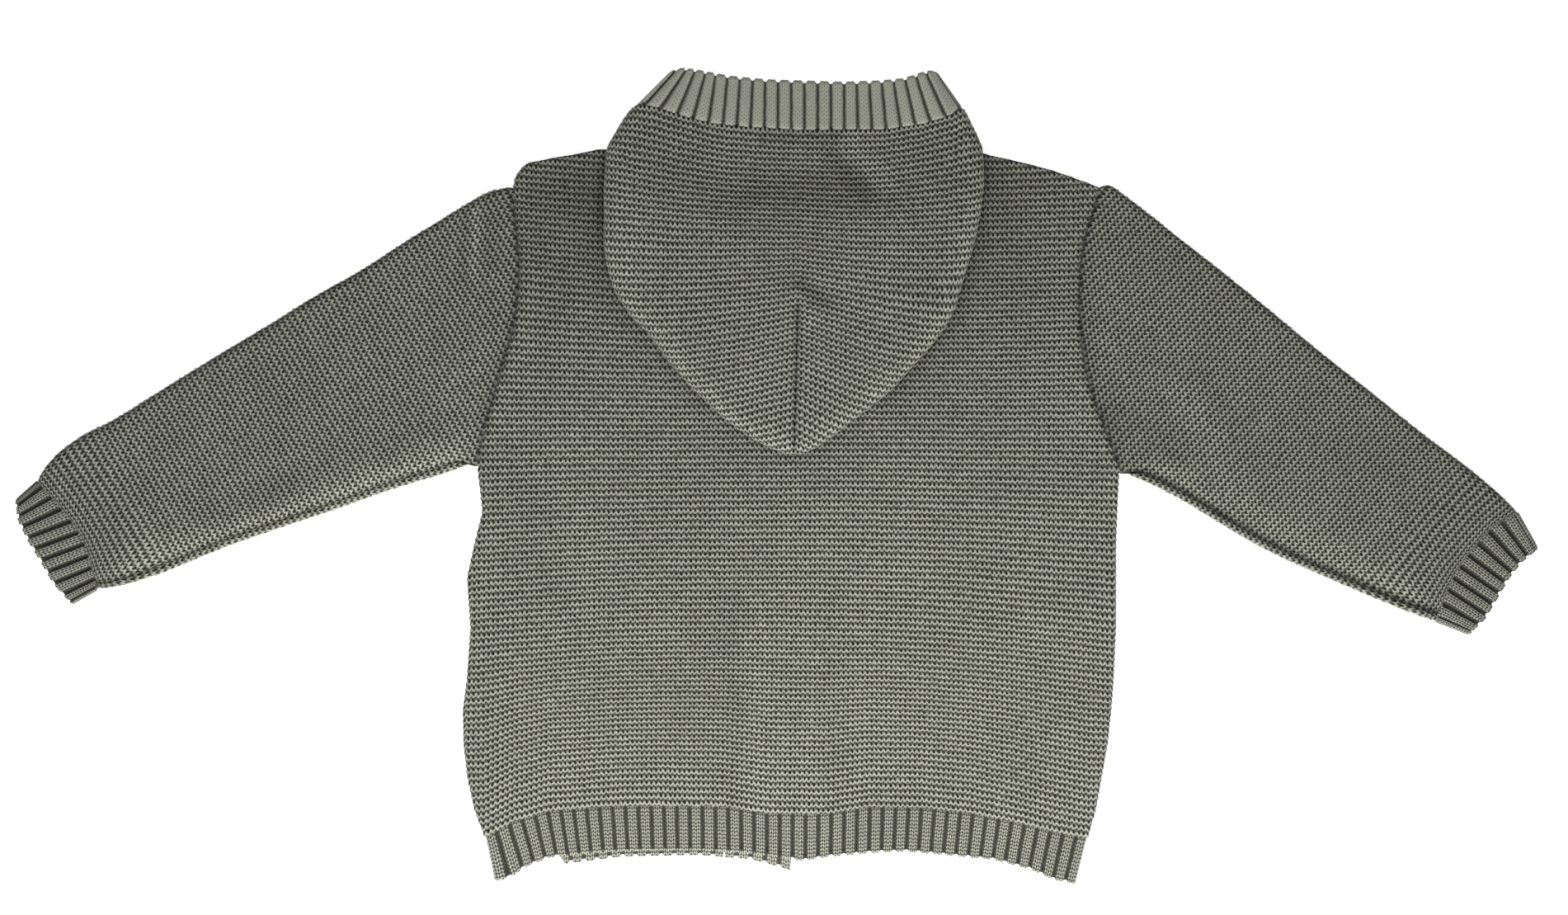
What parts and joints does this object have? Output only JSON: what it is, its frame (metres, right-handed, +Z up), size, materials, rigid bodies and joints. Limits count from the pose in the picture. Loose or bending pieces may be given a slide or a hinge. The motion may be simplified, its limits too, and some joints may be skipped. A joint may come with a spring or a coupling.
{
  "type": "hooded baby cardigan",
  "caption": "Long-sleeved hooded baby cardigan in garter stitch with ribbed hem, cuffs and hood band, laid flat with its back up.",
  "frame": {"origin": "middle of the outline, on the surface that the cardigan lies on", "axes": "+X from the left cuff to the right cuff as seen from above, +Y from the hem to the neck, +Z up out of the cloth"},
  "size_m": [0.6443, 0.3445, 0.0216],
  "materials": {
    "garter_knit": "matt garter stitch in sage grey cotton yarn",
    "rib_knit": "matt two-by-one rib in sage grey cotton yarn",
    "button": "satin resin, tone in tone"
  },
  "bodies": {
    "root": {"back_panel": "garter_knit", "front_left": "garter_knit", "front_right": "garter_knit", "sleeve_left": "garter_knit", "sleeve_right": "garter_knit", "hood": "garter_knit", "back_hem": "rib_knit", "front_left_hem": "rib_knit", "front_right_hem": "rib_knit", "button_band_left": "rib_knit", "button_band_right": "rib_knit", "cuff_left": "rib_knit", "cuff_right": "rib_knit", "hood_band": "rib_knit", "button_1": "button", "button_2": "button", "button_3": "button", "button_4": "button", "button_5": "button"}
  },
  "joints": []
}
